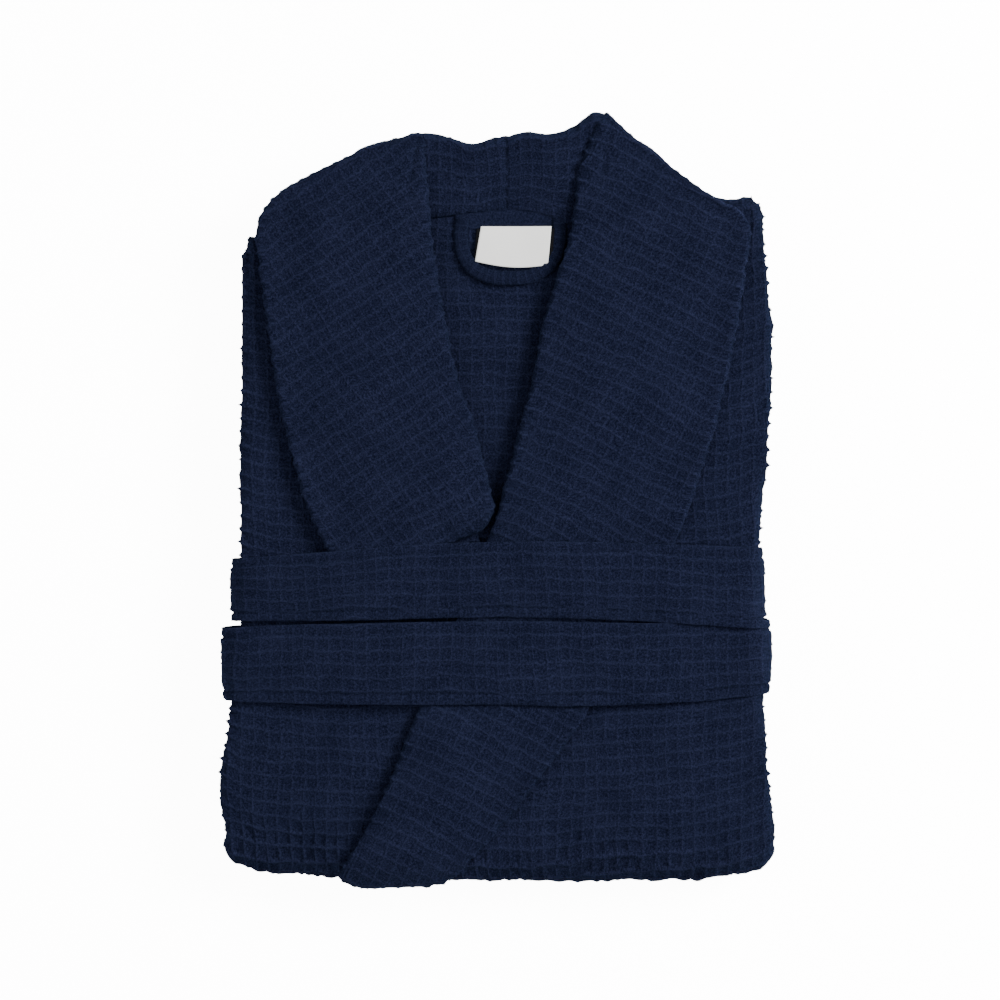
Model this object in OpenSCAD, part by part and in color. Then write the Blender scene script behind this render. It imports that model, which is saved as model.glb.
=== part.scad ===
// Waffle-weave shawl-collar bathrobe, folded for a shelf and lying face up, with its belt wound
// round it twice. Millimetres. +Y points to the collar and +Z up from the surface it lies on.
// The origin is the middle of the footprint, on that surface. Left and right are the wearer's,
// so the left front is on +X.
//
// The robe is a strip of cloth plies with its sides folded in. The strip runs down the chest,
// turns round the bottom fold, comes back under the chest and turns under once more at the hem.
// Round the bottom fold the plies are concentric, so each ply is a pair of radii there.

/* [Folded robe] */
// Width of the folded robe between its side folds
robe_w = 343; // [338:1:345]
// Length from the bottom fold to the top of the collar
robe_l = 496; // [490:1:500]
// Radius of the outermost ply round the bottom fold
fold_r = 21; // [20.8:0.1:22]

/* [Cloth] */
// Thickness of one ply of waffle cloth
ply = 2.2; // [2:0.1:2.2]
// Air between two plies
air = 0.2; // [0.1:0.05:0.2]
// Thickness of one ply of a lapel
lapel_ply = 2.8; // [2:0.1:3]

/* [Belt] */
// Width of the belt
belt_w = 49; // [46:1:50]
// Thickness of the belt, which is two plies sewn flat
belt_t = 3.5; // [3:0.1:3.6]
// Gap between the two turns of the belt on the front
belt_gap = 3; // [2:0.5:4]

/* [Neck] */
// Width of the hanging loop's strap
strap_w = 9; // [8:0.5:10]
// Thickness of the hanging loop's strap
strap_t = 4.2; // [4.1:0.1:4.2]
// Width and height of the woven neck label
label_size = [46, 26]; // [20:1:60]

/* [Hidden] */
$fn = 64;
navy = [0.11, 0.16, 0.29];
navy_dark = [0.08, 0.12, 0.23];
big = 600;

pitch = ply + air;                       // from one ply to the next
half_w = robe_w / 2;
pocket_t = 1.6;
under_gap = 0.4;                         // between the belt and the pockets
fold_z = belt_t + under_gap + pocket_t + air + fold_r;  // height of the bottom fold's axis
band_r = fold_r + pitch;                 // outside of the front band round the fold
fold_y = -robe_l / 2 + band_r;           // the bottom fold's axis
hem_y = 166;                             // where the skirt turns under
hem_end_y = 5;                           // the hem, under the robe
band_end_y = hem_y - 16;                 // the right front band's end, short of the turned hem
neck_y = 174;                            // where the loop and the labels are sewn on
seam_y = 178.5;                          // the neck seam at the collar

// Radii of a ply's faces round the bottom fold, counted inwards from the left front.
function ply_out(n) = fold_r - n * pitch;
function ply_in(n) = ply_out(n) - ply;
back_top = fold_z + ply_out(2);          // top of the back panel, seen in the neckline
front_top = fold_z + fold_r;             // top of the left front
lapel_z = front_top + 0.3;
flap_in = ply_in(4);                     // innermost folded-in ply
flap_x = 8;                              // the folded-in plies end this far from the middle

// Neckline and front edges in plan, from the shoulder to the bottom fold.
right_edge = [[-46, 232], [-35, 122], [-14, 45], [0, -6], [24, -100], [50, -260]];
left_edge = [[60, 232], [44, 153], [24, 80], [0, -6], [-50, -133], [-92, -260]];
right_lapel_outline = [
    [-52, 225], [-46, 188], [-36, 122], [-15, 45], [-5, 8], [-9, -14], [-30, -26], [-112, -26],
    [-133, 35], [-148, 109], [-152, 165], [-141, 195], [-102, 216], [-68, 229]
];
left_lapel_outline = [
    [62, 247], [51, 199], [44, 153], [26, 85], [12, 30], [6, -26], [112, -26],
    [134, 32], [148, 85], [158, 135], [161, 165], [151, 186], [106, 219], [77, 239], [70, 247]
];
left_shoulder = [[49, 169], [half_w, 169], [half_w, 176], [169, 184], [159, 191], [139, 195],
                 [110, 212], [62, 236]];
right_shoulder = [[-46, 169], [-half_w, 169], [-158, 174], [-120, 196], [-60, 222], [-53, 224]];
stand_top = [[-49.5, 231], [-40, 234], [-20, 229], [5, 233], [30, 234], [50, 240],
             [57, robe_l / 2]];
centre_back = 5;                         // the collar's centre back seam

// ---------------------------------------------------------------- shapes
// A block given by its two corners.
module block(a, b) {
    translate(a) cube(b - a);
}

// The side view of plies that run down the chest, round the bottom fold and back along the skirt,
// between two radii of the fold.
module fold_profile(r_out, r_in, chest_y, skirt_y) {
    t = r_out - r_in;
    difference() {
        translate([fold_y, fold_z]) circle(r_out);
        translate([fold_y, fold_z]) circle(r_in);
        translate([fold_y, 0]) square([big, big]);
    }
    translate([fold_y, fold_z + r_in]) square([chest_y - fold_y, t]);
    translate([fold_y, fold_z - r_out]) square([skirt_y - fold_y, t]);
}

// The same plies, across the robe from x0 to x1.
module strip(r_out, r_in, x0, x1, skirt_y, chest_y = 170) {
    translate([x0, 0, 0]) rotate([90, 0, 90]) linear_extrude(x1 - x0)
        fold_profile(r_out, r_in, chest_y, skirt_y);
}

module above_fold(points) {
    translate([0, 0, fold_z]) linear_extrude(big) polygon(points);
}

module below_fold(points) {
    translate([0, 0, -1]) linear_extrude(fold_z + 1) polygon(points);
}

// The skirt's end, turned under at the hem: down from the skirt's ply to z0 and back to the hem.
module turned_hem(x0, x1, z0, skirt_top, end_y) {
    block([x0, end_y - ply, z0], [x1, end_y, skirt_top]);
    block([x0, hem_end_y, z0], [x1, end_y, z0 + ply]);
}

// One side's folded-in ply and the side fold that joins it to the outer ply.
module side_fold(side, r_out, n_in, x, skirt_y) {
    mirror([side > 0 ? 0 : 1, 0, 0]) {
        strip(r_out, ply_in(n_in), x - ply, x, skirt_y);
        strip(ply_out(n_in), ply_in(n_in), flap_x, x, skirt_y);
    }
}

// ---------------------------------------------------------------- panels
// The yoke of the back, behind the neckline, with the neck seam along its top.
module back_panel() {
    x = half_w - ply - air;
    color(navy_dark) {
        strip(ply_out(2), ply_in(2), -x, x, hem_y);
        for (side = [-1, 1]) side_fold(side, ply_out(2), 3, x, hem_y);
        translate([0, 0, fold_z + ply_in(2)]) linear_extrude(ply)
            polygon([[-x, 169], [x, 169], [x, 174], [60, 226], [42, 181], [5, seam_y - 6],
                     [-30, 181], [-46, 222], [-x, 169.5]]);
        turned_hem(6 - half_w, half_w - 6, 0, fold_z - ply_in(3), hem_y + ply);
    }
}

module front_panel(side) {
    n = side > 0 ? 0 : 1;                // the left front lies over the right front
    edge = side > 0 ? left_edge : right_edge;
    skirt_x = side > 0 ? -30 : 40;       // front edge on the skirt, under the robe
    skirt_y = hem_y - pitch;
    level = fold_z + ply_in(n);
    color(navy) {
        intersection() {
            strip(ply_out(n), ply_in(n), -half_w, half_w, skirt_y);
            union() {
                above_fold(concat(edge, [[side * big, -260], [side * big, 232]]));
                below_fold([edge[len(edge) - 1], [skirt_x, -180], [skirt_x, big],
                            [side * big, big], [side * big, -260]]);
            }
        }
        side_fold(side, ply_out(n), 4, half_w, skirt_y);
        translate([0, 0, level]) linear_extrude(ply) polygon(side > 0 ? left_shoulder : right_shoulder);
        turned_hem(side > 0 ? 0.2 : 12 - half_w, side > 0 ? half_w - 12 : -0.2, ply + 2 * air,
                   fold_z - ply_in(n), skirt_y + ply);
    }
}

// Patch pockets, on the skirt under the robe.
module pocket(side) {
    z = fold_z - ply_out(side > 0 ? 0 : 1) - air - pocket_t;
    color(navy) mirror([side > 0 ? 0 : 1, 0, 0]) block([45, -185, z], [160, 0, z + pocket_t]);
}

// ---------------------------------------------------------------- sleeves
sleeve_top = fold_z + flap_in - air;
sleeve_bottom = fold_z - flap_in + air;
sleeve_x = [6, half_w - 8];
cuff_y = [-195, -140];

// A flattened sleeve, folded once along its length, with both long sides rounded.
module sleeve_bar(y0, y1) {
    r = (sleeve_top - sleeve_bottom) / 2;
    translate([0, y1, sleeve_bottom]) rotate([90, 0, 0]) linear_extrude(y1 - y0) {
        translate([sleeve_x[0] + r, 0]) square([sleeve_x[1] - sleeve_x[0] - 2 * r, 2 * r]);
        for (x = [sleeve_x[0] + r, sleeve_x[1] - r]) translate([x, r]) circle(r);
    }
}

module sleeve(side) {
    color(navy_dark) mirror([side > 0 ? 0 : 1, 0, 0]) sleeve_bar(cuff_y[1] + air, 168);
}

module cuff(side) {
    color(navy) mirror([side > 0 ? 0 : 1, 0, 0]) sleeve_bar(cuff_y[0], cuff_y[1]);
}

// Belt carrier at the side seam, which the side fold brings near the middle.
module belt_loop(side) {
    x = side > 0 ? 2.4 : -4.6;
    color(navy) block([x, -150, fold_z - 8], [x + 2.2, -85, fold_z + 8]);
}

// ---------------------------------------------------------------- collar
// The collar's stand behind the neck: up from the neck seam to its rim, then over and down.
module collar_stand(side) {
    rim_z = lapel_z + 4;
    color(navy) intersection() {
        translate([-big / 2, 0, 0]) rotate([90, 0, 90]) linear_extrude(big) polygon([
            [seam_y, back_top + air], [seam_y, back_top + 2.3], [238, rim_z], [246, rim_z - 4],
            [big, 34], [240, 34], [234, back_top + air]
        ]);
        linear_extrude(big) polygon(concat(
            stand_top, [[53, 222], [46, 186], [42, seam_y], [-34, seam_y], [-42, 186], [-49, 220]]
        ));
        if (side > 0) block([centre_back + air / 2, -big, -1], [big, big, big]);
        else block([-big, -big, -1], [centre_back - air / 2, big, big]);
    }
}

// The tape that covers the neck seam inside.
module neck_tape() {
    color(navy_dark) block([-34, neck_y - 4, back_top + air], [46, seam_y - 0.3, back_top + 1.5]);
}

// The front band, which is the shawl collar's lower end: on the left it lies over the front
// from the lapel down to the bottom fold.
module left_front_band() {
    color(navy) intersection() {
        strip(band_r, fold_r + air, -half_w, half_w, 0, -28);
        above_fold([[-6, -28], [-50, -133], [-92, -260], [-20, -260], [8, -215], [56, -133], [96, -28]]);
    }
}

// On the right the band continues the front's own edge, under the left front.
module right_front_band() {
    step = 6;
    color(navy) intersection() {
        strip(ply_out(1), ply_in(1), -half_w, half_w, band_end_y, -28);
        union() {
            above_fold([[step + 6, -28], [step + 24, -100], [step + 50, -260], [110, -260], [70, -28]]);
            below_fold([[step + 50, -260], [step + 40, -180], [step + 40, big], [100, big], [110, -260]]);
        }
    }
}

// One ply of a lapel, which lies over its front outside the roll line.
module lapel(points, level) {
    translate([0, 0, lapel_z + level * (lapel_ply + air)])
        linear_extrude(lapel_ply) offset(r = 6) offset(delta = -6) polygon(points);
}

// ---------------------------------------------------------------- hanging loop and labels
loop_z = back_top + 0.3;
loop_top = loop_z + strap_t;
loop_mid = [7, 166];                     // middle of the loop's round end
loop_r = 31;                             // outside of its round end
label_z = loop_top + air;
size_label_t = 0.5;
neck_label_t = 0.6;

module hang_loop() {
    color(navy) {
        intersection() {
            translate([loop_mid.x, loop_mid.y, loop_z]) difference() {
                cylinder(r = loop_r, h = strap_t);
                translate([0, 0, -1]) cylinder(r = loop_r - strap_w, h = strap_t + 2);
            }
            block([-big, -big, 0], [big, loop_mid.y, big]);
        }
        // Flat tabs, sewn in at the neck seam.
        for (x = [loop_mid.x - loop_r, loop_mid.x + loop_r - strap_w]) {
            block([x, loop_mid.y - 0.5, loop_z], [x + strap_w, loop_mid.y + 2, loop_top]);
            block([x, loop_mid.y + 1, loop_top - 1.5], [x + strap_w, neck_y, loop_top]);
        }
    }
}

module size_label() {
    color("black") block([-14, neck_y - label_size.y + 2, label_z], [39, neck_y, label_z + size_label_t]);
}

module neck_label() {
    z = label_z + size_label_t + 0.1;
    color("white") translate([11 - label_size.x / 2, neck_y - label_size.y, z])
        cube([label_size.x, label_size.y, neck_label_t]);
}

// ---------------------------------------------------------------- belt
belt_top_y = -28;
belt_h = fold_z + band_r + 0.4 + belt_t; // outside height of a turn
belt_x = half_w + 1 + belt_t;
belt_round = 5;

// A rectangle with round corners, in (x, z).
module belt_outline(inset) {
    r = belt_round - inset;
    x = belt_x - inset;
    translate([-x + r, inset]) square([2 * (x - r), belt_h - 2 * inset]);
    translate([-x, belt_round]) square([2 * x, belt_h - 2 * belt_round]);
    for (cx = [-x + r, x - r], cz = [belt_round, belt_h - belt_round]) translate([cx, cz]) circle(r);
}

module belt_turn(y1) {
    translate([0, y1, 0]) rotate([90, 0, 0]) linear_extrude(belt_w) difference() {
        belt_outline(0);
        belt_outline(belt_t);
    }
}

// Two turns side by side, joined under the robe where the belt crosses from one to the other.
module belt() {
    color(navy) {
        for (k = [0, 1]) belt_turn(belt_top_y - k * (belt_w + belt_gap));
        block([-60, belt_top_y - belt_w - belt_gap - 1, 0], [60, belt_top_y - belt_w + 1, belt_t]);
    }
}

back_panel();
front_panel(-1);  // right_front_panel
front_panel(1);  // left_front_panel
sleeve(-1);  // right_sleeve
sleeve(1);  // left_sleeve
cuff(-1);  // right_cuff
cuff(1);  // left_cuff
pocket(-1);  // right_pocket
pocket(1);  // left_pocket
belt_loop(-1);  // right_belt_loop
belt_loop(1);  // left_belt_loop
collar_stand(-1);  // right_collar_stand
collar_stand(1);  // left_collar_stand
neck_tape();
right_front_band();
left_front_band();
color(navy_dark) lapel(right_lapel_outline, 0);  // right_undercollar
color(navy) lapel(right_lapel_outline, 1);  // right_lapel_facing
color(navy_dark) lapel(left_lapel_outline, 0);  // left_undercollar
color(navy) lapel(left_lapel_outline, 1);  // left_lapel_facing
hang_loop();
size_label();
neck_label();
belt();
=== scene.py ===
"""A folded waffle bathrobe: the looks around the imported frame.

Lengths are in millimetres until a mesh is made. X runs across the robe, Y up to its neck and Z off the floor.
"""

import math

import bpy
import numpy as np
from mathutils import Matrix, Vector


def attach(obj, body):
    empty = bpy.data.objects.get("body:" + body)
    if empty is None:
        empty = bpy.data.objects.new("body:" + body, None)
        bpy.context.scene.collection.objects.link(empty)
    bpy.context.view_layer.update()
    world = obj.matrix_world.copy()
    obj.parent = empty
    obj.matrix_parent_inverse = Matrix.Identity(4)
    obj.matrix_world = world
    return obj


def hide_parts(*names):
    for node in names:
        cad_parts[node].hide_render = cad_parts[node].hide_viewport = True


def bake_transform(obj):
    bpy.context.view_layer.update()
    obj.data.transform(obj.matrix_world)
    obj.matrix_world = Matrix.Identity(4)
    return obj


# ---------------------------------------------------------------- camera
cam_data = bpy.data.cameras.new("camera")
cam = bpy.data.objects.new("camera", cam_data)
bpy.context.scene.collection.objects.link(cam)
cam.location = (0.0016, 0.0003, 2.05)
cam_data.sensor_width = 36
cam_data.lens = 112.5
bpy.context.scene.camera = cam

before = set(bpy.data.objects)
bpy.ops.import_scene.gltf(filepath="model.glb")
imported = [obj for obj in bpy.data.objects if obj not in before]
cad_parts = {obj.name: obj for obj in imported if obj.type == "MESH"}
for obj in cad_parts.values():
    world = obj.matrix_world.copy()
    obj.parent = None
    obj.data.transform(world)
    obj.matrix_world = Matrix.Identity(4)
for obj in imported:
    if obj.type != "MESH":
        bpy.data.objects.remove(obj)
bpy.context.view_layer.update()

MM = 0.001
FOLD_R = 21.0  # outer radius of the bottom fold, and its centre line
FOLD_Y = -224.6
FOLD_Z = 26.7
TOP_Z = FOLD_Z + FOLD_R
MEAN_R = FOLD_R - 5
ARC = math.pi * MEAN_R
HALF_WIDTH = 178  # of the folded robe
BACK_LEVEL = 4.8  # how far the back lies under the chest
PLY = 2.0
CELL_A, CELL_B = 7.8, 9.0  # the waffle's cells, across and down
BACK_CELLS = 7.3, 8.7
STAND_CELLS = 7.4, 8.6
BELT_CELLS = 7.7, 8.2
BELT_TOP, BELT_BOTTOM = -28.0, -130.0
CENTRE_BACK = 6.0


# ---------------------------------------------------------------- numbers
def ramp(x, a, b):
    """0 before a, 1 after b, smooth between."""
    t = np.clip((np.asarray(x, float) - a) / (b - a), 0, 1)
    return t * t * (3 - 2 * t)


def mix(a, b, t):
    return a + (b - a) * t


def along(points, n, smooth=14):
    """n points evenly spaced along a smooth curve through the given points."""
    p = np.array(points, float)
    ends = np.vstack([2 * p[0] - p[1], p, 2 * p[-1] - p[-2]])
    out = []
    t = np.linspace(0, 1, smooth, endpoint=False)[:, None]
    for i in range(len(p) - 1):
        a, b, c, d = ends[i : i + 4]
        out.append(
            0.5
            * (
                2 * b
                + (c - a) * t
                + (2 * a - 5 * b + 4 * c - d) * t**2
                + (3 * b - a - 3 * c + d) * t**3
            )
        )
    q = np.vstack([*out, p[-1:]])
    s = np.concatenate([[0], np.cumsum(np.linalg.norm(np.diff(q, axis=0), axis=1))])
    at = np.linspace(0, s[-1], n)
    return np.stack([np.interp(at, s, q[:, k]) for k in range(q.shape[1])], 1)


def profile(points):
    """A smooth function through (position, value) points."""
    p = np.array(sorted(points), float)
    q = along(p, 400) if len(p) > 2 else p
    order = np.argsort(q[:, 0])
    return lambda x: np.interp(x, q[order, 0], q[order, 1])


def wobble(x, y, seed, size, waves=7):
    """Smooth random hills of about unit height, whose wavelength is near size."""
    rng = np.random.default_rng(seed)
    total = np.zeros(np.broadcast(x, y).shape)
    for _ in range(waves):
        angle, phase = rng.uniform(0, 2 * math.pi, 2)
        k = 2 * math.pi / (size * rng.uniform(0.7, 1.5))
        total = total + np.sin(k * (x * math.cos(angle) + y * math.sin(angle)) + phase)
    return total / math.sqrt(waves)


def crease(x, y, a, b, width, height):
    """A soft fold from a to b: a ridge that fades out at both ends."""
    a, b = np.array(a, float), np.array(b, float)
    d = b - a
    size = np.hypot(*d)
    t = ((x - a[0]) * d[0] + (y - a[1]) * d[1]) / size**2
    off = ((x - a[0]) * d[1] - (y - a[1]) * d[0]) / size
    return height * np.exp(-((off / width) ** 2)) * ramp(t, -0.15, 0.25) * (1 - ramp(t, 0.75, 1.15))


# ---------------------------------------------------------------- meshes
def waffle(a, b):
    """Height of the weave from cell coordinates: 1 along the rows between cells, less on the lines across."""
    ea, eb = (np.abs(2 * (v - np.floor(v)) - 1) for v in (a, b))
    return np.maximum(0.72 * ea**5.0, eb**4.0)


def uneven(cells):
    """Cell coordinates with the drift that washed cloth has."""
    a, b = cells[..., 0], cells[..., 1]
    da = 0.16 * wobble(a, b, 41, 9) + 0.05 * wobble(a, b, 42, 2.4)
    db = 0.13 * wobble(a, b, 43, 8) + 0.06 * wobble(a, b, 44, 2.2)
    return np.stack([a + da, b + db], -1)


def normals(p):
    """Unit normals of a grid of points."""
    across, down = np.gradient(p, axis=1), np.gradient(p, axis=0)
    n = np.cross(across, down)
    return n / np.maximum(np.linalg.norm(n, axis=2, keepdims=True), 1e-9)


def count(length, step, k=4):
    """How many grid lines cover a length, so that every k-th one ends on its edge."""
    return k * max(1, round(length / step / k)) + 1


def sheet_piece(name, mid, cells, material, thick=PLY, relief=0.85, flip=False, k=4, dip=None):
    """A closed sheet of cloth round a grid of mid points, fine on its face and coarse on its back.
    cells is the weave coordinate of each point, and dip lowers the face there."""
    cells = uneven(cells)
    n = normals(mid) * (-1 if flip else 1)
    amount = relief if np.ndim(relief) == 0 else np.asarray(relief)[..., None]
    h = waffle(cells[..., 0], cells[..., 1])[..., None]
    h = h * (1 + 0.3 * wobble(cells[..., 0], cells[..., 1], 45, 3.1))[..., None]
    top = mid + n * (thick / 2 + amount * (h - 0.5))
    if dip is not None:
        top = top - n * dip[..., None]
    back = mid[::k, ::k] - n[::k, ::k] * (thick / 2)
    return closed_grid(name, top, back, cells, material, flip, k)


def closed_grid(name, top, back, cells, material, flip=False, k=4):
    """Joins a fine face and a coarse back, k times as wide in its mesh, round their four rims."""
    rows, cols = top.shape[:2]
    r2, c2 = back.shape[:2]
    ti = np.arange(rows * cols).reshape(rows, cols)
    bi = np.arange(r2 * c2).reshape(r2, c2) + rows * cols
    q_top = np.stack([ti[:-1, :-1], ti[1:, :-1], ti[1:, 1:], ti[:-1, 1:]], -1).reshape(-1, 4)
    q_back = np.stack([bi[:-1, :-1], bi[:-1, 1:], bi[1:, 1:], bi[1:, :-1]], -1).reshape(-1, 4)
    rims = []
    for edge_t, edge_b, turn in (
        (ti[0], bi[0], False),
        (ti[-1], bi[-1], True),
        (ti[:, 0], bi[:, 0], True),
        (ti[:, -1], bi[:, -1], False),
    ):
        for i in range(len(edge_b) - 1):
            ring = list(edge_t[i * k : i * k + k + 1]) + [edge_b[i + 1], edge_b[i]]
            rims.append(ring[::-1] if turn else ring)
    rims = np.array(rims)
    faces = [q_top[:, ::-1], q_back[:, ::-1], rims[:, ::-1]]
    if flip:
        faces = [f[:, ::-1] for f in faces]
    loops = np.concatenate([f.ravel() for f in faces]).astype(np.int32)
    totals = np.concatenate([np.full(len(f), f.shape[1]) for f in faces]).astype(np.int32)
    starts = np.concatenate([[0], np.cumsum(totals)[:-1]]).astype(np.int32)
    verts = np.concatenate([top.reshape(-1, 3), back.reshape(-1, 3)]) * MM
    uv = np.concatenate([cells.reshape(-1, 2), cells[::k, ::k].reshape(-1, 2)])
    return mesh_piece(name, verts, loops, starts, totals, uv, material)


def mesh_piece(name, verts, loops, starts, totals, uv, material):
    """A Blender object from flat arrays, with the weave coordinates as its UV map."""
    me = bpy.data.meshes.new(name)
    me.vertices.add(len(verts))
    me.vertices.foreach_set("co", verts.astype(np.float32).ravel())
    me.loops.add(len(loops))
    me.loops.foreach_set("vertex_index", loops)
    me.polygons.add(len(totals))
    me.polygons.foreach_set("loop_start", starts)
    me.polygons.foreach_set("loop_total", totals)
    me.update(calc_edges=True)
    me.validate()
    layer = me.uv_layers.new(name="weave")
    index = np.zeros(len(me.loops), np.int32)
    me.loops.foreach_get("vertex_index", index)
    layer.data.foreach_set("uv", uv[index].astype(np.float32).ravel())
    me.polygons.foreach_set("use_smooth", np.ones(len(me.polygons), bool))
    me.materials.append(material)
    obj = bpy.data.objects.new(name, me)
    bpy.context.scene.collection.objects.link(obj)
    return obj


# ---------------------------------------------------------------- materials
def node(tree, kind, **values):
    """A shader node with its inputs and settings."""
    n = tree.nodes.new(kind)
    for key, value in values.items():
        if key in n.inputs.keys():
            n.inputs[key].default_value = value
        else:
            setattr(n, key, value)
    return n


def sum_node(tree, op, a, b=None, clamp=False):
    """A Math node on numbers or sockets, and its output."""
    n = tree.nodes.new("ShaderNodeMath")
    n.operation = op
    n.use_clamp = clamp
    for i, v in enumerate((a, b)):
        if v is None:
            continue
        if isinstance(v, (int, float)):
            n.inputs[i].default_value = v
        else:
            tree.links.new(v, n.inputs[i])
    return n.outputs[0]


def cloth_material(name, low, high, cells=True, bump=0.9, rough=0.95, mottle=2.3):
    """Matt woven cotton: a painted highlight on the ridge round each cell, painted shade in its hollow, and
    yarn that varies in tone and height.
    """
    mat = bpy.data.materials.new(name)
    mat.use_nodes = True
    t = mat.node_tree
    link = t.links.new
    bsdf = t.nodes["Principled BSDF"]
    bsdf.inputs["Roughness"].default_value = rough
    bsdf.inputs["Specular IOR Level"].default_value = 0.0
    bsdf.inputs["Sheen Weight"].default_value = 0.03
    bsdf.inputs["Sheen Roughness"].default_value = 0.5
    bsdf.inputs["Sheen Tint"].default_value = (0.30, 0.50, 1.0, 1)
    uv = node(t, "ShaderNodeUVMap", uv_map="weave")
    split = t.nodes.new("ShaderNodeSeparateXYZ")
    link(uv.outputs[0], split.inputs[0])
    noises = []
    grain = 6.0
    for scale, detail in ((grain, 3.0), (grain * 2.6, 2.0), (0.35, 2.0)):
        noise = node(t, "ShaderNodeTexNoise", Scale=scale, Detail=detail, Roughness=0.65)
        link(uv.outputs[0], noise.inputs["Vector"])
        noises.append(noise.outputs[0])
    yarn, fine, patch = noises
    speckle = sum_node(t, "SUBTRACT", sum_node(t, "ADD", yarn, fine), 1.0)
    if cells:
        lines = []
        for axis, sharp in ((0, 9.0), (1, 5.0)):
            f = sum_node(t, "FRACT", split.outputs[axis])
            e = sum_node(t, "ABSOLUTE", sum_node(t, "SUBTRACT", f, 0.5))
            lines.append(sum_node(t, "POWER", sum_node(t, "MULTIPLY", e, 2.0), sharp))
        ridge = sum_node(t, "MAXIMUM", lines[0], lines[1])
    else:
        wave = node(t, "ShaderNodeTexWave", Scale=4.0, Distortion=0.3, Detail=1.0)
        link(uv.outputs[0], wave.inputs["Vector"])
        ridge = sum_node(t, "MULTIPLY", wave.outputs[1], 0.5)
    # Lighter on the ridges and darker between them. On the waffle this is a painted highlight on the ridges
    # and painted shade in the cells; on the plain tapes the lightening follows a wave pattern.
    tone = sum_node(t, "MULTIPLY", ridge, 0.31)
    tone = sum_node(t, "ADD", tone, sum_node(t, "MULTIPLY", speckle, mottle))
    tone = sum_node(t, "ADD", tone, sum_node(t, "MULTIPLY", sum_node(t, "SUBTRACT", patch, 0.5), 0.5))
    tone = sum_node(t, "ADD", tone, 0.34, clamp=True)
    colour = t.nodes.new("ShaderNodeMix")
    colour.data_type = "RGBA"
    colour.inputs[6].default_value = (*low, 1)
    colour.inputs[7].default_value = (*high, 1)
    link(tone, colour.inputs[0])
    link(colour.outputs[2], bsdf.inputs["Base Color"])
    height = sum_node(t, "ADD", sum_node(t, "MULTIPLY", ridge, 0.5), sum_node(t, "MULTIPLY", speckle, 1.4))
    bumped = node(t, "ShaderNodeBump", Strength=bump, Distance=0.0009)
    link(height, bumped.inputs["Height"])
    link(bumped.outputs[0], bsdf.inputs["Normal"])
    return mat


NAVY = cloth_material("navy_waffle", (0.0028, 0.0037, 0.0110), (0.0184, 0.0225, 0.0538))
NAVY_PLAIN = cloth_material("navy_tape", (0.0034, 0.0047, 0.0138), (0.0172, 0.0211, 0.0500), cells=False)
WHITE = cloth_material("white_satin", (0.84, 0.84, 0.82), (0.95, 0.95, 0.93), cells=False, bump=0.15,
                       rough=0.6, mottle=0.3)
BLACK = cloth_material("black_tape", (0.004, 0.004, 0.005), (0.012, 0.012, 0.014), cells=False, bump=0.3,
                       mottle=1.0)

# ---------------------------------------------------------------- the folded body
# Side folds of the robe, down each side: Y, then X. It is widest at the hip, drawn in under the belt, and
# rounds in at the shoulders.
left_side = profile([(205, -156), (165, -160), (60, -164), (-30, -165), (-110, -165), (-155, -173),
                     (-200, -178), (-225, -174)])
right_side = profile([(205, 148), (185, 165), (165, 170), (100, 175), (30, 174), (-30, 168), (-125, 169),
                      (-190, 174), (-225, 177)])


def fold_shift(x):
    """How far the bottom fold lies inside its place in the frame: straight, with rounded corners."""
    w = np.clip(np.abs(x) / HALF_WIDTH, 0, 1)
    return 1 + 6 * w**4 + 8 * w**16



def pressed(y):
    """1 under the belt, 0 away from it."""
    return ramp(y, BELT_BOTTOM - 18, BELT_BOTTOM + 4) * (1 - ramp(y, BELT_TOP - 4, BELT_TOP + 20))


def swell(x, y):
    """How much the folded cloth rises over its flat height, seen from above."""
    crown = 2.6 * (1 - np.clip(np.abs(x) / HALF_WIDTH, 0, 1) ** 3) - 0.4
    soft = 0.9 * wobble(x, y, 3, 130) + 0.35 * wobble(x, y, 4, 46)
    return (crown + soft) * (1 - 0.85 * pressed(y))


def sag(x, y):
    """The same for the underside: lifted by the belt's crossing, and lying on the floor elsewhere."""
    return 4.2 * pressed(y) - 3.4 * (1 - ramp(y, -175, -140)) + 0.4 * wobble(x, y, 5, 90) + 1.4


def folded(x, s, depth):
    """The place of a point of the folded strip. s runs down the chest, which ends at s = 0, round the
    bottom fold and back along the skirt. depth is below the outermost ply."""
    r = FOLD_R - depth
    fy = FOLD_Y + fold_shift(x)
    angle = np.clip(s / MEAN_R, 0, math.pi)
    y = fy - np.minimum(s, 0) - r * np.sin(angle) + np.maximum(s - ARC, 0)
    z = FOLD_Z + r * np.cos(angle)
    over = 0.5 + 0.5 * np.cos(angle)
    inner = 1 - 0.3 * np.clip(depth / 12, 0, 1)
    return np.stack([x, y, z + swell(x, y) * over * inner + sag(x, y) * (1 - over) * inner], -1)


def chest_y(s):
    """The height on the chest that a point of the strip lies over or under."""
    return np.where(s < 0, FOLD_Y - s, np.where(s < ARC, FOLD_Y, FOLD_Y + (s - ARC)))


def rounded_end(distance, r):
    """1 away from an end and 0 at it, as a round end's thickness."""
    near = np.clip(distance / r, 0, 1)
    return np.sqrt(np.clip(1 - (1 - near) ** 2, 0, 1))


def trim(p, cells, k=4):
    """Drops the last grid lines that the coarse back can't reach."""
    rows, cols = ((n - 1) // k * k + 1 for n in p.shape[:2])
    return p[:rows, :cols], cells[:rows, :cols]


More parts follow.
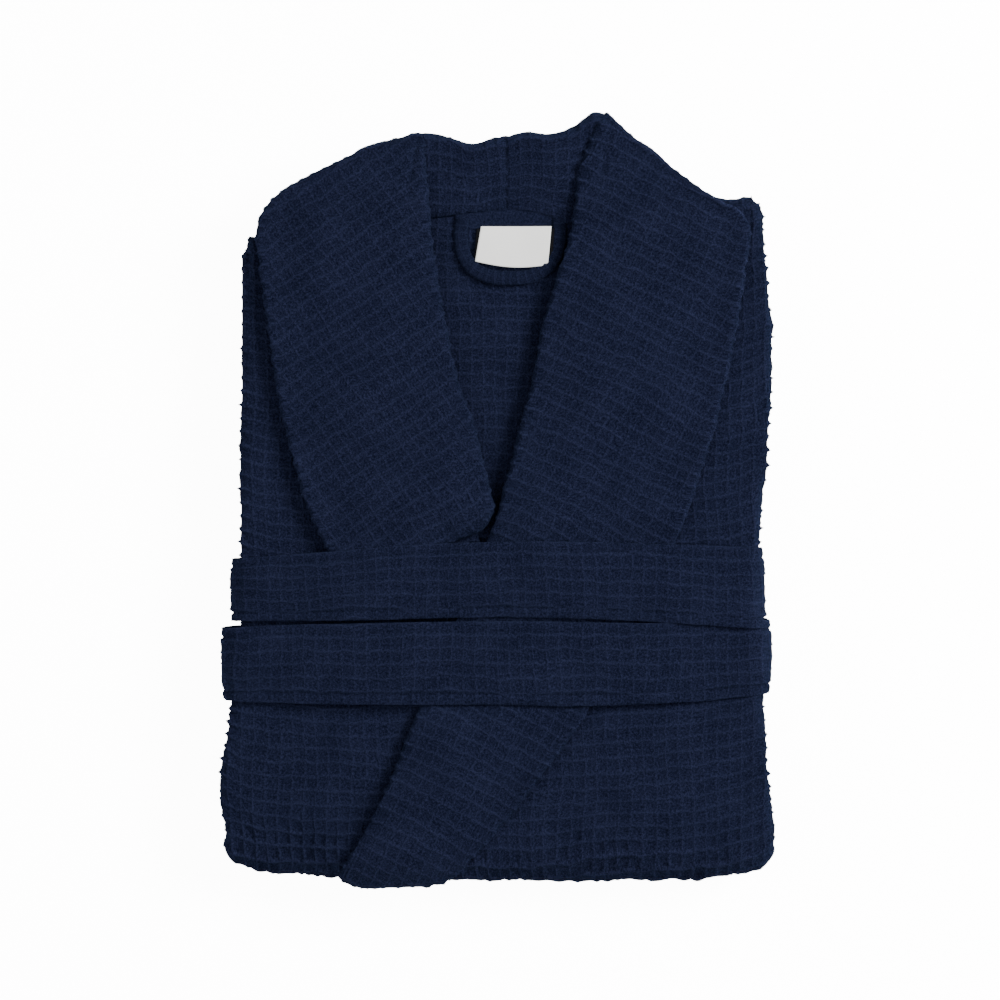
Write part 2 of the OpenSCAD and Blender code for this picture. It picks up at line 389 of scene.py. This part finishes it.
def panel(name, sign, side, level, edge, top_y, slant=0.0):
    """A front: from its edge across to the side fold, round it and back inside. edge and side are
    functions of Y, and both ends close like the end of a pillow."""
    side_r, tuck, step, skirt = 4.6, 52.0, 1.1, 380.0
    s_top, s_end = FOLD_Y - top_y, ARC + skirt
    fine = np.linspace(s_top, ARC * 0.9, count(ARC * 0.9 - s_top, step))
    coarse = np.linspace(ARC * 0.9, s_end, count(s_end - ARC * 0.9, 5.0))[1:]
    s = np.concatenate([s_top + np.linspace(0, 2, 5)[:-1] ** 2 / 4, fine[2:], coarse])
    s = np.concatenate([s[:-1], s_end - np.array([2.5, 1.0, 0.3, 0.0])])
    s = np.sort(s)
    width = 190.0
    u_top = np.linspace(0, 1, count(width, step))
    turn = np.linspace(0, math.pi, 17)[1:]
    back = np.linspace(0, 1, 13)[1:]
    y_line = chest_y(s)
    w, e = side(y_line)[:, None] * sign, edge(y_line)[:, None] * sign
    close = (rounded_end(s - s_top, 9.0) * rounded_end(s_end - s, 9.0))[:, None]
    r = side_r * close + 0.2
    flat = w - r
    top = mix(e, flat, u_top)
    x = np.concatenate([top, flat + r * np.sin(turn), mix(flat, flat - tuck, back)], 1)
    mid = level + side_r
    depth = np.concatenate([0 * top + mid - r, mid - r * np.cos(turn), mid + r + 0 * back], 1)
    run = np.concatenate([top, flat + side_r * turn, flat + side_r * math.pi + tuck * back], 1)
    down = np.broadcast_to(s[:, None], x.shape)
    cells = np.stack([run * sign / CELL_A, (down + slant * run) / CELL_B], -1)
    p, cells = trim(folded(x * sign, down, depth), cells)
    # The weave stands out where the cloth turns: round the bottom fold and round the side fold.
    turning = np.maximum(ramp(down, -36, 8), ramp(x, w - 9, w - 1))[: p.shape[0], : p.shape[1]]
    return sheet_piece(name, p, cells, NAVY, flip=(sign > 0), relief=1.15 + 1.8 * turning)


left_edge = profile([(230, 74), (199, 66), (150, 58), (113, 46), (74, 38), (32, 27), (-25, 12), (-80, -12),
                     (-133, -34), (-183, -52), (-232, -68)])
right_edge = profile([(230, -62), (160, -57), (74, -42), (9, -22), (-25, -12), (-80, 5), (-133, 0),
                      (-232, -40)])

left_front = panel("left_front_cloth", 1, right_side, 0.0, left_edge, 188.0, slant=0.06)
right_front = panel("right_front_cloth", -1, left_side, 2.4, right_edge, 162.0)


def back_cloth(name):
    """The back: a flattened tube inside the fronts, seen in the neckline and at the collar's end."""
    s_top, s_end, r = FOLD_Y - 184.0, ARC + 384.0, 3.6
    level = BACK_LEVEL
    half = 160.0
    s = np.concatenate([s_top + np.array([0, 0.3, 1.0, 2.2]), np.arange(s_top + 3.3, s_top + 222, 1.1),
                        np.arange(s_top + 224, s_end - 3, 5.0), s_end - np.array([2.2, 1.0, 0.3, 0])])
    fine = np.arange(-60, 66, 1.05)
    outer = np.concatenate([np.linspace(-half, -60, 20)[:-1], fine, np.linspace(66, half, 20)[1:]])
    turn = np.linspace(0, math.pi, 13)[1:-1]
    close = (rounded_end(s - s_top, 7.0) * rounded_end(s_end - s, 7.0))[:, None]
    rr = r * close + 0.15
    back = np.linspace(half, 10, 14)
    x = np.concatenate([-back[::-1] + 0 * rr, -half - rr * np.sin(turn), outer + 0 * rr,
                        half + rr * np.sin(turn), back + 0 * rr], 1)
    depth = np.concatenate([level + r + rr + 0 * back, level + r + rr * np.cos(turn),
                            level + r - rr + 0 * outer, level + r - rr * np.cos(turn),
                            level + r + rr + 0 * back], 1)
    run = np.concatenate([back[::-1] - 2 * half - 11, -half - r * turn[::-1], outer, half + r * turn,
                          2 * half + 11 - back])
    # The shoulders fall away under the fronts.
    down = s[:, None] + 30 * ramp(np.abs(x), 62, 128) * (1 - ramp(s[:, None], s_top, s_top + 90))
    cells = np.stack([np.broadcast_to(run, x.shape) / BACK_CELLS[0] + 0.3, down / BACK_CELLS[1]], -1)
    p, cells = trim(folded(x, down, depth), cells)
    p[..., 2] -= seam_dip(p[..., 0], p[..., 1]) * (p[..., 2] > FOLD_Z)
    return sheet_piece(name, p, cells, NAVY, flip=True)


def tube(name, outline, y0, y1, z_mid, half_t):
    """A flattened tube inside the fold. outline gives its inner and outer X as functions of Y."""
    y = np.linspace(y1, y0, count(y1 - y0, 3.0))
    y = np.sort(np.concatenate([y[1:-1], y1 - np.array([0, 0.3, 1.2]), y0 + np.array([0, 0.3, 1.2])]))[::-1]
    low, high = (f(y)[:, None] for f in outline)
    close = (rounded_end(y1 - y, half_t) * rounded_end(y - y0, half_t))[:, None]
    r = half_t * close + 0.15
    turn = np.linspace(0, math.pi, 13)
    flat = np.linspace(0, 1, 33)[1:-1]
    right = high - r + r * np.sin(turn)
    left = low + r - r * np.sin(turn)
    x = np.concatenate([right, mix(high - r, low + r, flat), left, mix(low + r, high - r, flat[:-4])], 1)
    dz = np.concatenate([-np.cos(turn) * r, r + 0 * flat, np.cos(turn) * r, -r + 0 * flat[:-4]], 1)
    z = z_mid(x, y[:, None]) + dz
    run = np.concatenate([half_t * turn, half_t * math.pi + flat * 150,
                          half_t * math.pi + 150 + half_t * turn,
                          half_t * 2 * math.pi + 150 + flat[:-4] * 150])
    yy = np.broadcast_to(y[:, None], x.shape)
    cells = np.stack([np.broadcast_to(run, x.shape) / CELL_A, yy / CELL_B], -1)
    p, cells = trim(np.stack([x, yy, z], -1), cells)
    return sheet_piece(name, p, cells, NAVY, thick=1.6, relief=0.6)


# ---------------------------------------------------------------- shawl collar
def over_fold(x, y):
    """How far cloth on the chest comes down where it goes round the bottom fold."""
    r = FOLD_R + 6
    past = np.clip(FOLD_Y + fold_shift(x) - y, 0, 0.97 * r)
    return np.sqrt(r**2 - past**2) - r


def shawl(name, pairs, angle, lift, squeeze, creases):
    """A lapel: cloth that rolls over at its inner edge, lies flat to its outer edge and turns under it.
    pairs are (roll point, outer point) down its length, and angle is the way its cells run."""
    r_roll, r_edge, step, puff, tuck, end_r = 3.1, 2.5, 1.0, 2.0, 11.0, 7
    flat_pairs = [(*a, *b) for a, b in pairs]
    rough = along(flat_pairs, 200)
    length = np.linalg.norm(np.diff(rough[:, :2], axis=0), axis=1).sum()
    rows = along(flat_pairs, count(length, step))
    t = np.concatenate([[0], np.cumsum(np.linalg.norm(np.diff(rows, axis=0), axis=1))]) / math.sqrt(2)
    roll, outer = rows[:, :2], rows[:, 2:]
    size = np.linalg.norm(outer - roll, axis=1)
    way = (outer - roll) / size[:, None]
    close = (rounded_end(t, end_r) * rounded_end(t[-1] - t, end_r))[:, None]
    press = squeeze(roll[:, 1])[:, None]
    rr, re = (r * close * press + 0.12 for r in (r_roll, r_edge))
    turn = np.linspace(0, math.pi, 15)
    q_in = mix(tuck, 0, np.linspace(0, 1, 7)[:-1]) + rr
    q_roll, z_roll = rr * (1 - np.sin(turn)), rr * (1 - np.cos(turn))
    u = np.linspace(0, 1, count(float(size.max()), step))[1:-1]
    q_top = mix(rr, size[:, None] - re, u)
    z_top = mix(2 * rr, 2 * re, u)
    z_top = z_top + puff * close * press * np.sin(math.pi * np.clip(u * 1.15, 0, 1)) * (1 - 0.5 * u)
    q_edge, z_edge = size[:, None] - re + re * np.sin(turn), re * (1 + np.cos(turn))
    q_out = size[:, None] - re - mix(0, 9, np.linspace(0, 1, 6)[1:])
    q = np.concatenate([q_in, q_roll, q_top, q_edge, q_out], 1)
    z = np.concatenate([0 * q_in, z_roll, z_top, z_edge, 0 * q_out], 1)
    run = np.concatenate([-q_in - 3, -r_roll * (math.pi / 2 - turn) + 0 * q_roll, q_top,
                          size[:, None] + r_edge * (turn - math.pi / 2), 2 * size[:, None] - q_out + 2], 1)
    x = roll[:, :1] + way[:, :1] * q
    y = roll[:, 1:] + way[:, 1:] * q
    base = TOP_Z + swell(x, y) + lift(x, y)
    soft = 0.55 * wobble(x, y, 11, 60) + sum(crease(x, y, *c) for c in creases)
    top_side = np.clip(z / (2 * r_edge), 0, 1)
    clear = 1.3 * press * close * ramp(q, size[:, None] - 14, size[:, None])
    p = np.stack([x, y, base + PLY / 2 + 0.1 + z + clear + soft * top_side * close], -1)
    cx, cy = roll[:, :1] + way[:, :1] * run, roll[:, 1:] + way[:, 1:] * run
    c, sn = math.cos(angle), math.sin(angle)
    cells = np.stack([(cx * c + cy * sn) / CELL_A, (cy * c - cx * sn) / CELL_B], -1)
    p, cells = trim(p, cells)
    turning = np.maximum(1 - ramp(q, 0, 8), ramp(q, size[:, None] - 8, size[:, None] - 1))
    return sheet_piece(name, p, cells, NAVY, flip=pairs[0][1][0] > pairs[0][0][0],
                       relief=0.75 + 0.65 * turning[: p.shape[0], : p.shape[1]])


left_lapel = shawl(
    "left_shawl_cloth",
    [((62.5, 238), (69.5, 248)), ((58, 226), (91, 228.5)), ((52, 208), (129, 199.5)),
     ((48.5, 178), (159.5, 178)), ((41.3, 151), (158, 150)), ((29.8, 114), (152.5, 112)),
     ((22, 74), (144.8, 74)), ((11.2, 32), (133.5, 31)), ((-4.8, -25), (113, -27)), ((-27, -80), (84, -82)),
     ((-49.6, -133), (56, -136)), ((-70, -183), (19, -187)), ((-84, -212), (-3, -213)),
     ((-98, -234), (-21, -233)), ((-100, -243.5), (-31, -243)), ((-88, -250.5), (-45, -248))],
    math.radians(-27), over_fold,
    lambda y: 1 - 0.62 * pressed(y) - 0.25 * (1 - ramp(y, -240, -150)),
    creases=[((72, 240), (66, 205), 2.8, -1.2), ((100, 4), (62, -26), 7.0, -0.8),
             ((-10, -140), (-44, -200), 6.0, -0.6)],
)
right_lapel = shawl(
    "right_shawl_cloth",
    [((-44, 233.5), (-50, 234)), ((-47, 226), (-80, 226)), ((-45.5, 205), (-136, 198.5)),
     ((-43.5, 183), (-153, 176)), ((-41.3, 158), (-151.5, 150)), ((-34, 115), (-146, 110)),
     ((-25.3, 75), (-141, 74)), ((-14.4, 45), (-134.2, 42)), ((-6.1, 9.3), (-126, 12)),
     ((-2.6, -4), (-119, -10)), ((-9, -17), (-112, -24)), ((-30, -27), (-104, -38)),
     ((-55, -40), (-96, -50))],
    math.radians(33), lambda x, y: 0.9 * ramp(y, 40, -5),
    lambda y: 1 - 0.55 * pressed(y),
    creases=[((-50, 232), (-58, 196), 2.6, -1.7), ((-112, 8), (-70, -26), 7.0, -0.9),
             ((-48, -2), (-28, -24), 5.0, -0.7)],
)


# ---------------------------------------------------------------- behind the neck
rim_line = profile([(-52, 234), (-43, 233.7), (-31, 232.4), (-24, 229.5), (-16.5, 227.5), (1.6, 231),
                    (19.5, 235), (34, 234), (49.6, 238.4), (55.3, 243), (62, 246.5), (70, 246)])
seam_line = profile([(-52, 181), (-40, 181.5), (-18, 184), (10, 186.5), (28, 184), (44, 178.5), (58, 177.5),
                     (70, 180)])


def seam_dip(x, y):
    """How far the stitching draws the back in where the loop and labels are sewn on."""
    return 1.6 * np.exp(-(((y - 176) / 5) ** 2)) * (1 - ramp(np.abs(x - 9), 36, 48))


def neck_face(x, y):
    """The face of the back inside the neckline."""
    return TOP_Z - BACK_LEVEL + swell(x, y) * 0.88 + PLY / 2


def neck_z(x, y):
    """The same face, drawn in under the loop and labels."""
    return neck_face(x, y) - seam_dip(x, y)


back = back_cloth("back_cloth")


def collar_half(name, x0, x1):
    """Half of the collar behind the neck: up from its seam, over the rim and down behind it."""
    x = np.linspace(x0, x1, count(x1 - x0, 1.05))[:, None]
    rim, seam = rim_line(x), seam_line(x)
    u = np.linspace(0, 1, 49)
    turn = np.linspace(0, math.pi, 17)[1:]
    fold_in = np.linspace(1, 0, 5)[:-1]
    under = np.linspace(0, 24, 9)[1:]
    low = neck_face(x, seam)
    rise, rr = 8.6, 4.6
    y = np.concatenate([seam + 5 * fold_in, mix(seam, rim - rr, u), rim - rr + rr * np.sin(turn),
                        rim - rr - under], 1)
    face = low + 1.6 + (rise - 1.6) * u**1.5 + 0.8 * np.sin(math.pi * u)
    face = face - 1.3 * np.exp(-((u / 0.045) ** 2))
    over = low + rise - rr + rr * np.cos(turn)
    z = np.concatenate([low + 0.4 + 0 * fold_in, face, over,
                        low + rise - 2 * rr - 0.6 * np.sqrt(under)], 1)
    xx = np.broadcast_to(x, y.shape)
    z = z + 0.5 * wobble(xx, y, 21, 34) * ramp(y, 184, 200)
    z = z - 1.1 * np.exp(-(((xx - CENTRE_BACK) / 1.8) ** 2))
    rows = float((rim - rr - seam).mean())
    run = np.concatenate([-5 * fold_in, rows * u, rows + rr * turn, rows + rr * math.pi + under])
    cells = np.stack([xx / STAND_CELLS[0], np.broadcast_to(run, y.shape) / STAND_CELLS[1]], -1)
    p, cells = trim(np.stack([xx, y, z], -1), cells)
    turning = np.concatenate([0 * fold_in, u**6, 1 + 0 * turn, 0 * under])
    return sheet_piece(name, p, cells, NAVY, flip=True, relief=np.broadcast_to(0.9 + 1.1 * turning, y.shape))


right_stand = collar_half("right_collar_stand_cloth", -52.0, CENTRE_BACK + 0.7)
left_stand = collar_half("left_collar_stand_cloth", CENTRE_BACK - 0.3, 69.5)


def flat_patch(name, xs, ys, height, material, thick, step=1.0, bend=None):
    """A flat strip or patch from xs[0] to xs[1] and ys[0] to ys[1]. bend moves its points, which are also
    given as fractions across and down it."""
    v = np.linspace(0, 1, count(abs(ys[1] - ys[0]), step))[:, None]
    u = np.linspace(0, 1, count(abs(xs[1] - xs[0]), step))
    x, y = mix(xs[0], xs[1], u) + 0 * v, mix(ys[0], ys[1], v) + 0 * u
    if bend:
        x, y = bend(x, y, u, v)
    p = np.stack([x, y, height(x, y)], -1)
    cells = np.stack([x / CELL_A, y / CELL_B], -1)
    return sheet_piece(name, p, cells, material, thick=thick, relief=0.0, flip=True)


tape = flat_patch("neck_tape_cloth", (-27, 47), (188, 174), lambda x, y: neck_z(x, y) + 0.1, NAVY_PLAIN, 0.8)


def strap(name, line, width, height, material, thick, relief, cell):
    """A strap along a curve in plan."""
    step = 0.8
    n = count(float(np.linalg.norm(np.diff(np.array(line), axis=0), axis=1).sum()), step)
    mid = along(line, n)
    way = np.gradient(mid, axis=0)
    way /= np.linalg.norm(way, axis=1, keepdims=True)
    side = np.stack([way[:, 1], -way[:, 0]], 1)
    q = np.linspace(-width / 2, width / 2, count(width, step))
    x = mid[:, :1] + side[:, :1] * q
    y = mid[:, 1:] + side[:, 1:] * q
    z = height(x, y) - 1.2 * np.abs(2 * q / width) ** 2.6
    s = np.concatenate([[0], np.cumsum(np.linalg.norm(np.diff(mid, axis=0), axis=1))])[:, None]
    cells = np.stack([np.broadcast_to(q / cell[0], x.shape), np.broadcast_to(s / cell[1], x.shape)], -1)
    return sheet_piece(name, np.stack([x, y, z], -1), cells, material, thick=thick, relief=relief, k=2)


def on_back(x, y):
    """The loop's height: on the back, raised at its lower bend and pressed down by the labels."""
    return neck_z(x, y) + 2.0 + 1.1 * np.exp(-(((y - 144) / 12) ** 2)) - 0.7 * ramp(y, 160, 174)


loop = strap(
    "hang_loop_cloth",
    [(-22.5, 181), (-23.5, 170), (-21.5, 157.5), (-15, 148.5), (-4.5, 143.6), (8, 142.3), (20, 143.4),
     (30.5, 148.8), (37.5, 157.5), (39.6, 169), (39.8, 181)],
    7.8, on_back, NAVY, 2.4, 0.5, cell=(4.1, 5.0),
)


def label_shape(x, y, u, v):
    """The label's outline: it leans out to the left below, and its lower edge is crowned."""
    left, right = mix(-10.6, -14.4, v), mix(34.6, 32.3, v)
    bottom = mix(153.2, 150.6, u) - 2.6 * np.sin(math.pi * u)
    return mix(left, right, u), mix(175.7 + 0 * u, bottom, v)


def label_z(x, y):
    """The label's height: over the loop, bowed a little, and down to its seam at the top."""
    bow = 0.6 * ramp(x, 14, 34) + 0.3 * np.sin((x + 14) / 49 * math.pi)
    return neck_z(x, y) + 2.7 + bow - 0.6 * ramp(y, 158, 174)


def backing_shape(x, y, u, v):
    """The dark backing's outline, which shows round the white label."""
    left, right = mix(-13.3, -15.0, v), mix(36.6, 34.9, v)
    bottom = mix(156.0, 152.4, u) - 1.0 * np.sin(math.pi * u)
    return mix(left, right, u), mix(174.3 + 0 * u, bottom, v)


backing = flat_patch("size_label_cloth", (-14, 38), (176, 151), lambda x, y: label_z(x, y) - 0.75, BLACK, 0.5,
                     bend=backing_shape)
label = flat_patch("neck_label_cloth", (-12, 34), (176, 149), label_z, WHITE, 0.5, bend=label_shape)


# ---------------------------------------------------------------- belt
BELT_W = 49.0
BELT_STEP = 1.12
# The edges of its two turns on top of the robe: X, then Y.
upper_top = profile([(-172, -38), (-164, -37.4), (-107, -33), (-58.6, -29.2), (1.6, -26.6), (60, -26.8),
                     (113, -28.5), (166, -30.4), (172, -31)])
upper_low = profile([(-174, -77), (-93, -76.3), (1.6, -74.2), (85, -76.5), (124, -79), (171, -82.2),
                     (174, -82.5)])
lower_top = profile([(-178, -82.4), (-128, -79.7), (1.6, -77.4), (85, -78.6), (124, -78.4), (171, -77)])
lower_low = profile([(-178, -127), (-166, -128.5), (-93, -130), (1.6, -130.2), (54, -131), (126, -128.3),
                     (169, -124), (178, -122.5)])


def belt_height(x):
    """The belt's height on top of the robe: arched over the layers, and lower at the sides."""
    return 51.0 + 4.8 * (1 - ramp(np.abs(x), 92, 152)) + 0.25 * np.sin(x / 23)


def belt_section(left, right, start, end, z_start, z_end):
    """Points (X, Z) once round the robe: along the bottom from start, up the right, over, and back to end.
    z_start and z_end are its heights under the robe at either end."""
    r_low, r_top = 9.0, 15.0
    a = np.linspace(0, math.pi / 2, 15)[1:-1]
    low_run = np.arange(start, right - r_low, 1.2)
    top_x = np.arange(right - r_top, -left + r_top, -1.1)
    low_back = np.arange(-left + r_low, end, 1.2)
    zt_r, zt_l = belt_height(right), belt_height(-left)
    pieces = [
        np.stack([low_run, 0 * low_run + z_start], 1),
        np.stack([right - r_low + r_low * np.sin(a), z_start + r_low - r_low * np.cos(a)], 1),
        np.stack([0 * np.arange(4.0) + right, np.linspace(z_start + r_low, zt_r - r_top, 4)], 1),
        np.stack([right - r_top + r_top * np.cos(a), zt_r - r_top + r_top * np.sin(a)], 1),
        np.stack([top_x, belt_height(top_x)], 1),
        np.stack([-left + r_top - r_top * np.sin(a), zt_l - r_top + r_top * np.cos(a)], 1),
        np.stack([0 * np.arange(4.0) - left, np.linspace(zt_l - r_top, z_end + r_low, 4)], 1),
        np.stack([-left + r_low - r_low * np.cos(a), z_end + r_low - r_low * np.sin(a)], 1),
        np.stack([low_back, 0 * low_back + z_end], 1),
    ]
    return np.concatenate(pieces)


def belt_cloth(name):
    """The belt, twice round the robe. The first turn starts under it, and the second ends there. Between
    them the belt crosses."""
    above, below = 5.9, 2.7
    one = belt_section(171.5, 171.0, -70.0, 0.0, above, below)
    two = belt_section(177.0, 175.5, 1.2, 60.0, below, above)
    xz = np.concatenate([one, two])
    s = np.concatenate([[0], np.cumsum(np.linalg.norm(np.diff(xz, axis=0), axis=1))])
    at = np.linspace(0, s[-1], count(s[-1], BELT_STEP))
    x, z = np.interp(at, s, xz[:, 0]), np.interp(at, s, xz[:, 1])
    cut = s[len(one) - 1]
    # share is 0 on the upper turn and 1 on the lower, and changes along the crossing under the robe
    side_one = (at < cut) & ~((z < 12) & (at > cut - 175))
    share = np.where(side_one, 0.0, np.clip((at - (cut - 165)) / 330, 0, 1))
    share = share * share * (3 - 2 * share)
    top_edge = mix(upper_top(x), lower_top(x), share)
    low_edge = mix(upper_low(x), lower_low(x), share)
    v = np.linspace(0, 1, count(BELT_W, BELT_STEP))
    y = mix(top_edge[:, None], low_edge[:, None], v)
    xx = np.broadcast_to(x[:, None], y.shape).copy()
    zz = np.broadcast_to(z[:, None], y.shape).copy()
    ox, oz = -np.gradient(z), np.gradient(x)
    size = np.hypot(ox, oz)
    ox, oz = -ox / size, -oz / size
    over = ((z > 40) & (at < cut))[:, None] * ramp(x, 92, 132)[:, None] * v**3 * 3.0
    bow = 0.45 * wobble(xx, y + 200 * share[:, None], 31, 70) - 1.3 * np.abs(2 * v - 1) ** 6
    shift = bow + over
    xx, zz = xx + ox[:, None] * shift, zz + oz[:, None] * shift
    cells = np.stack([np.broadcast_to(at[:, None] / BELT_CELLS[0], y.shape),
                      np.broadcast_to(v * BELT_W / BELT_CELLS[1], y.shape)], -1)
    edge = np.minimum(v, 1 - v) * BELT_W
    # A row of stitches runs inside each edge, and the cloth outside it is flatter.
    seam, stitch_length = 6.0, 3.2
    groove = np.exp(-(((edge - seam) / 1.2) ** 2))
    stitch = 0.5 + 0.5 * np.cos(2 * math.pi * at / stitch_length)
    depth = mix(1.5, 2.5, v)
    dip = (depth * groove)[None, :] * (0.7 + 0.3 * stitch[:, None])
    relief = (1.05 - 0.45 * (edge < seam)) * (1 + 0.4 * ramp(np.abs(x), 150, 168)[:, None])
    p, cells = trim(np.stack([xx, y, zz], -1), cells)
    rows, cols = p.shape[:2]
    return sheet_piece(name, p, cells, NAVY, thick=2.6, relief=np.broadcast_to(relief, y.shape)[:rows, :cols],
                       flip=True, dip=dip[:rows, :cols])


belt = belt_cloth("belt_cloth")

# ---------------------------------------------------------------- inside the fold
CUFF_Z = 26.8


def straight(x_at):
    """An edge at the same X all the way down."""
    return lambda y: x_at + 0 * y


def sleeve_up(x, y):
    return 31.2 + 0.5 * swell(x, y)


def sleeve_low(x, y):
    return 22.6 + 0.1 * swell(x, y)


def cuff_z(x, y):
    return CUFF_Z + 0 * x


shoulder = profile([(-200, 163), (95, 163), (135, 170), (176, 171), (185, 169), (191, 160), (195, 142),
                    (200, 120)])
shoulder_in = profile([(-200, 9), (150, 9), (176, 60), (186, 96), (200, 116)])
left_sleeve = [
    tube("left_sleeve_upper", (shoulder_in, shoulder), -138, 197, sleeve_up, 4.0),
    tube("left_sleeve_lower", (straight(9), straight(162)), -138, 168, sleeve_low, 4.0),
]
right_sleeve = [
    tube("right_sleeve_upper", (straight(-155), straight(-9)), -138, 170, sleeve_up, 4.0),
    tube("right_sleeve_lower", (straight(-156), straight(-9)), -138, 164, sleeve_low, 4.0),
]
left_cuff = tube("left_cuff_cloth", (straight(10), straight(161)), -194, -141, cuff_z, 8.0)
right_cuff = tube("right_cuff_cloth", (straight(-161), straight(-10)), -194, -141, cuff_z, 8.0)


def under_patch(name, x0, x1, y0, y1, depth, thick):
    """A pocket on the skirt, which lies under the fold."""

    def place(x, y):
        s = ARC + (y - FOLD_Y - fold_shift(x))
        return folded(x, s, depth)[..., 2]

    return flat_patch(name, (x0, x1), (y0, y1), place, NAVY, thick, step=4.0)


left_pocket = under_patch("left_pocket_cloth", 45, 160, 0, -184, -2.0, 1.4)
right_pocket = under_patch("right_pocket_cloth", -160, -45, 0, -184, 0.2, 1.4)


def standing_strap(name, x, y0, y1, z0, z1):
    """A strap of cloth that stands on its edge between the layers."""
    y = np.linspace(y0, y1, count(abs(y1 - y0), 2.0))[:, None]
    z = np.linspace(z0, z1, count(z1 - z0, 2.0))
    mid = np.stack([x + 0 * (y + z), y + 0 * z, z + 0 * y], -1)
    cells = np.stack([mid[..., 2] / CELL_A, mid[..., 1] / CELL_B], -1)
    return sheet_piece(name, mid, cells, NAVY_PLAIN, thick=2.0, relief=0.2)


carriers = [
    standing_strap("right_belt_loop_cloth", -4.0, -88, -148, 19.0, 33.0),
    standing_strap("left_belt_loop_cloth", 4.0, -88, -148, 19.0, 33.0),
]
hidden_band = flat_patch(
    "right_front_band_cloth", (8, 60), (-30, -222), lambda x, y: TOP_Z - 2.6 + 0.9 * swell(x, y), NAVY, 1.6,
    step=4.0, bend=lambda x, y, u, v: (x + right_edge(y) + 2 - 8, y),
)


# ---------------------------------------------------------------- placing
# Flat sizes are the cuts, in metres, worked out from the layout: the width across the layers with
# what turns under, and the length down the chest, round the bottom fold and back along the skirt.
def ready(obj, body, nodes):
    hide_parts(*nodes)
    if body:
        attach(obj, body)


ready(left_front, "robe", ["left_front_panel"])
ready(right_front, "robe", ["right_front_panel"])
ready(back, "robe", ["back_panel"])
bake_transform(right_stand)
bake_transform(left_stand)
ready(right_stand, None, ["right_collar_stand"])
ready(left_stand, None, ["left_collar_stand"])
# The hang loop is an 8.2 mm strap, sewn on at the neck tape: narrower than a sheet can be declared.
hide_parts("hang_loop")
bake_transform(loop)
ready(tape, "robe", ["neck_tape"])
ready(backing, "label", ["size_label"])
ready(label, "label", ["neck_label"])
ready(belt, "belt", ["belt"])
ready(left_sleeve[0], "robe", ["left_sleeve"])
ready(left_sleeve[1], "robe", ["left_sleeve"])
ready(right_sleeve[0], "robe", ["right_sleeve"])
ready(right_sleeve[1], "robe", ["right_sleeve"])
for side, cuff, pocket, carrier, front in (
    ("left", left_cuff, left_pocket, carriers[1], left_front),
    ("right", right_cuff, right_pocket, carriers[0], right_front),
):
    ready(cuff, "robe", [side + "_cuff"])
    ready(pocket, "robe", [side + "_pocket"])
    ready(carrier, "robe", [side + "_belt_loop"])
ready(hidden_band, "robe", ["right_front_band"])
for o, body, nodes, flat, area in (
    (left_lapel, "left_lapel", ["left_undercollar", "left_lapel_facing", "left_front_band"],
     (0.16, 0.50), 0.066),
    (right_lapel, "right_lapel", ["right_undercollar", "right_lapel_facing"], (0.155, 0.275), 0.037),
):
    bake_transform(o)
    ready(o, None, nodes)


# ---------------------------------------------------------------- floor and light
bpy.ops.mesh.primitive_plane_add(size=8, location=(0, 0, 0))
floor = bpy.context.object
floor.name = "floor"
white = bpy.data.materials.new("floor")
white.use_nodes = True
for key, value in (
    ("Base Color", (0.92, 0.92, 0.92, 1)),
    ("Roughness", 0.9),
    ("Emission Color", (1, 1, 1, 1)),
    ("Emission Strength", 12.0),
):
    white.node_tree.nodes["Principled BSDF"].inputs[key].default_value = value
floor.data.materials.append(white)
# The glow whitens the floor without lighting the cloth from below.
glow = bpy.data.collections.new("floor_glow")
glow.objects.link(floor)
floor.light_linking.receiver_collection = glow


def area_light(name, place, size, power):
    """A square soft light that looks at the robe. The place and size are in metres, the power in watts."""
    data = bpy.data.lights.new(name, "AREA")
    data.shape = "RECTANGLE"
    data.size = data.size_y = size
    data.energy = power
    obj = bpy.data.objects.new(name, data)
    bpy.context.scene.collection.objects.link(obj)
    obj.location = place
    way = np.array((0, 0, 0.03)) - np.array(place)
    obj.rotation_euler = Vector(way).to_track_quat("-Z", "Y").to_euler()


area_light("key", (2.0, 0.9, 1.85), 1.15, 136)
area_light("fill", (-1.2, -0.1, 1.6), 1.2, 18)
area_light("top", (0.4, -0.5, 2.6), 1.4, 14)
world = bpy.data.worlds.new("world")
bpy.context.scene.world = world
world.use_nodes = True
world.node_tree.nodes["Background"].inputs[0].default_value = (1, 1, 1, 1)
world.node_tree.nodes["Background"].inputs[1].default_value = 0.39
